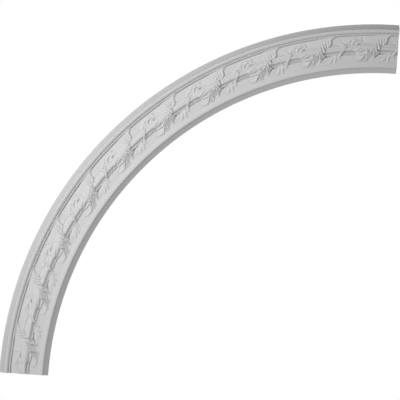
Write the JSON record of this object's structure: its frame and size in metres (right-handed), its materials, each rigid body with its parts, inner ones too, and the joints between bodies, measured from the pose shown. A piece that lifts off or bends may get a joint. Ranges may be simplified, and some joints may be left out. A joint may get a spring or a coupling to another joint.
{
  "type": "ceiling ring quarter segment",
  "caption": "Quarter arc of a ceiling ring: coved edges, raised crest and bead, and a field where acanthus leaves wind round a rod. Flat back and square-cut ends.",
  "frame": {"origin": "on the flat back, halfway along the segment and halfway across its band, where it is fixed to the ceiling", "axes": "+Y is the flat back's outward normal, into the ceiling, and the carved face looks along -Y, down into the room when fitted. The segment is drawn upright as the picture shows it: +Z is the radial direction at the upper cut end, -X the radial direction at the lower cut end, and the ring's centre lies at (+0.49409, 0, -0.49409)"},
  "size_m": [0.7476, 0.0192, 0.7476],
  "materials": {
    "primed_white": "matt white primer on moulded polyurethane foam"
  },
  "bodies": {
    "root": {"ceiling_ring_segment": "primed_white"}
  },
  "joints": []
}
